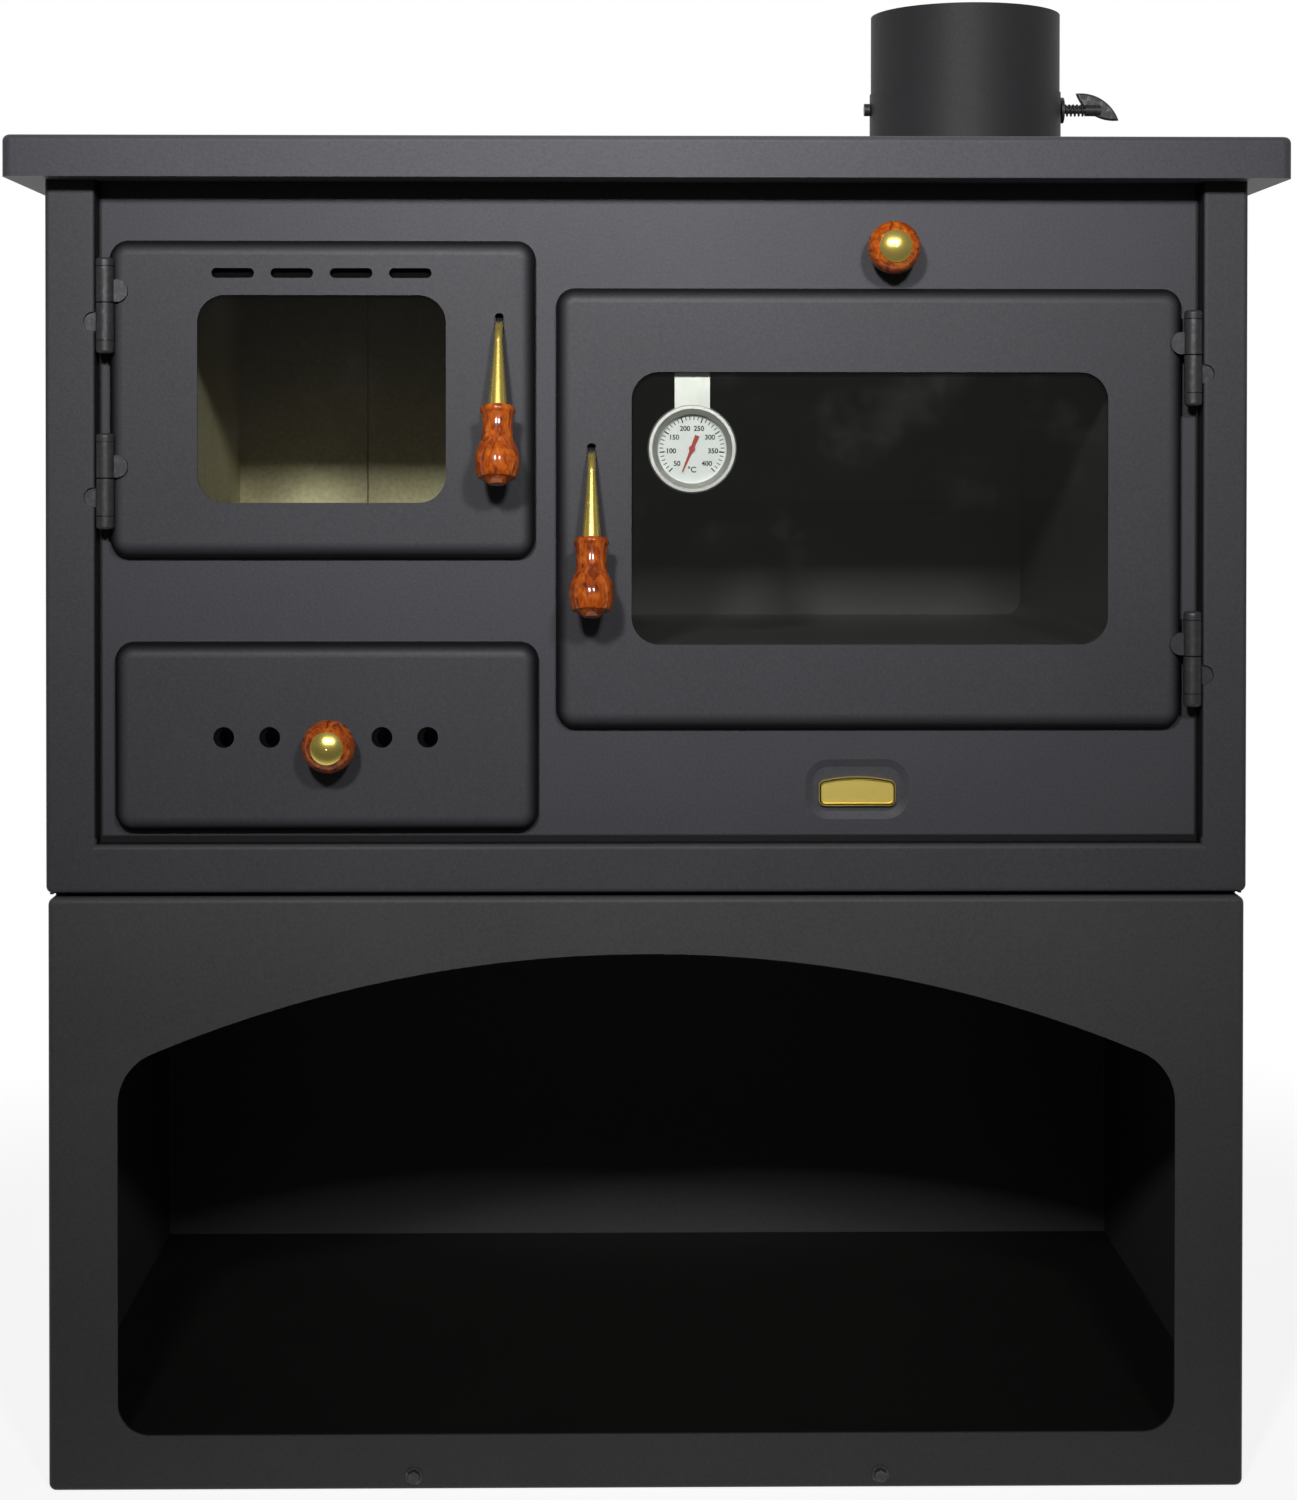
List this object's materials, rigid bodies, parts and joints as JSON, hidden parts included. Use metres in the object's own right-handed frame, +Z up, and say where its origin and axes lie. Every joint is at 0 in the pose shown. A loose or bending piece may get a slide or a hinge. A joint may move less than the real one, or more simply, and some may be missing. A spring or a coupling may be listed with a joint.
{
  "type": "cookstove",
  "caption": "Wood-burning cookstove with glazed firebox and oven doors, lift handles, ash drawer with air slide, flat hob with a loose lid, damped flue collar and an arched wood store below.",
  "frame": {"origin": "on the floor under the middle of the stove's body", "axes": "+X to the right seen from the front, +Y to the back, +Z up; the doors face -Y"},
  "size_m": [0.8, 0.528, 0.9705],
  "materials": {
    "body_paint": "matt heat-resistant charcoal paint",
    "door_paint": "matt heat-resistant charcoal paint, fine texture",
    "hob_iron": "matt blackened plate",
    "flue_paint": "matt black paint",
    "inner_steel": "dull bare sheet",
    "bright_steel": "bright steel",
    "grate_iron": "cast, dull",
    "brick": "pressed beige firebrick",
    "window_glass": "clear heat-proof glass",
    "rope": "woven glass rope",
    "brass": "polished",
    "wood": "turned and lacquered",
    "dial_face": "printed white face",
    "dial_needle": "black"
  },
  "bodies": {
    "stove": {"base_front": "body_paint", "base_wrap": "body_paint", "base_floor": "body_paint", "body_side_left": "body_paint", "body_side_right": "body_paint", "body_back": "body_paint", "body_floor": "body_paint", "front_frame": "body_paint", "front_panel": "body_paint", "hob_plate": "hob_iron", "firebox_jacket": "inner_steel", "firebrick_back": "brick", "firebrick_left": "brick", "firebrick_right": "brick", "grate_plate": "grate_iron", "fire_grate": "grate_iron", "drawer_runners": "inner_steel", "oven_liner": "inner_steel", "flue_chamber": "flue_paint", "flue_collar": "flue_paint", "hinge_leaves": "door_paint", "hinge_pins": "bright_steel", "badge_plate": "brass"},
    "firebox_door": {"firebox_door_skin": "door_paint", "firebox_glass": "window_glass", "firebox_glass_frame": "inner_steel", "firebox_rope": "rope", "firebox_knuckles": "door_paint", "firebox_latch_bracket": "inner_steel"},
    "firebox_handle": {"firebox_latch_lever": "inner_steel", "firebox_ferrule": "brass", "firebox_grip": "wood"},
    "oven_door": {"oven_door_skin": "door_paint", "oven_glass": "window_glass", "oven_glass_frame": "inner_steel", "oven_rope": "rope", "oven_knuckles": "door_paint", "oven_latch_bracket": "inner_steel", "thermometer_case": "bright_steel", "thermometer_dial": "dial_face", "thermometer_lens": "window_glass"},
    "oven_handle": {"oven_latch_lever": "inner_steel", "oven_ferrule": "brass", "oven_grip": "wood"},
    "dial_needle": {"thermometer_needle": "dial_needle"},
    "ash_drawer": {"ash_drawer_front": "door_paint", "ash_pan": "inner_steel"},
    "air_control": {"air_slide": "inner_steel", "air_knob": "wood", "air_knob_cap": "brass"},
    "bypass_damper": {"bypass_rod": "bright_steel", "bypass_knob": "wood", "bypass_knob_cap": "brass"},
    "flue_damper": {"damper_disc": "inner_steel", "damper_shaft": "bright_steel", "damper_spring": "bright_steel", "damper_key": "bright_steel"},
    "lid": {"hob_lid": "hob_iron"}
  },
  "joints": [
    {"name": "firebox_door_swing", "type": "hinge", "parent": "stove", "child": "firebox_door", "pos_m": [-0.34, -0.23, 0.6869], "axis": [0, 0, -1], "range_deg": [0, 110]},
    {"name": "oven_door_swing", "type": "hinge", "parent": "stove", "child": "oven_door", "pos_m": [0.343, -0.23, 0.6183], "axis": [0, 0, 1], "range_deg": [0, 110]},
    {"name": "firebox_handle_lift", "type": "hinge", "parent": "firebox_door", "child": "firebox_handle", "pos_m": [-0.0934, -0.2207, 0.7329], "axis": [-1, 0, 0], "range_deg": [0, 15]},
    {"name": "oven_handle_lift", "type": "hinge", "parent": "oven_door", "child": "oven_handle", "pos_m": [-0.0354, -0.2207, 0.6513], "axis": [-1, 0, 0], "range_deg": [0, 15]},
    {"name": "ash_drawer_slide", "type": "slide", "parent": "stove", "child": "ash_drawer", "axis": [0, -1, 0], "range_m": [0, 0.28]},
    {"name": "air_slide_move", "type": "slide", "parent": "ash_drawer", "child": "air_control", "axis": [1, 0, 0], "range_m": [-0.0036, 0.0104]},
    {"name": "bypass_damper_pull", "type": "slide", "parent": "stove", "child": "bypass_damper", "axis": [0, -1, 0], "range_m": [0, 0.08]},
    {"name": "flue_damper_turn", "type": "hinge", "parent": "stove", "child": "flue_damper", "pos_m": [0.236, 0.046, 0.9028], "axis": [1, 0, 0], "range_deg": [0, 90]},
    {"name": "thermometer_needle_turn", "type": "hinge", "parent": "oven_door", "child": "dial_needle", "pos_m": [0.0281, -0.2144, 0.6558], "axis": [0, 1, 0], "range_deg": [0, 293]},
    {"name": "hob_lid_lift", "type": "slide", "parent": "stove", "child": "lid", "axis": [0, 0, 1], "range_m": [0, 0.15]}
  ]
}
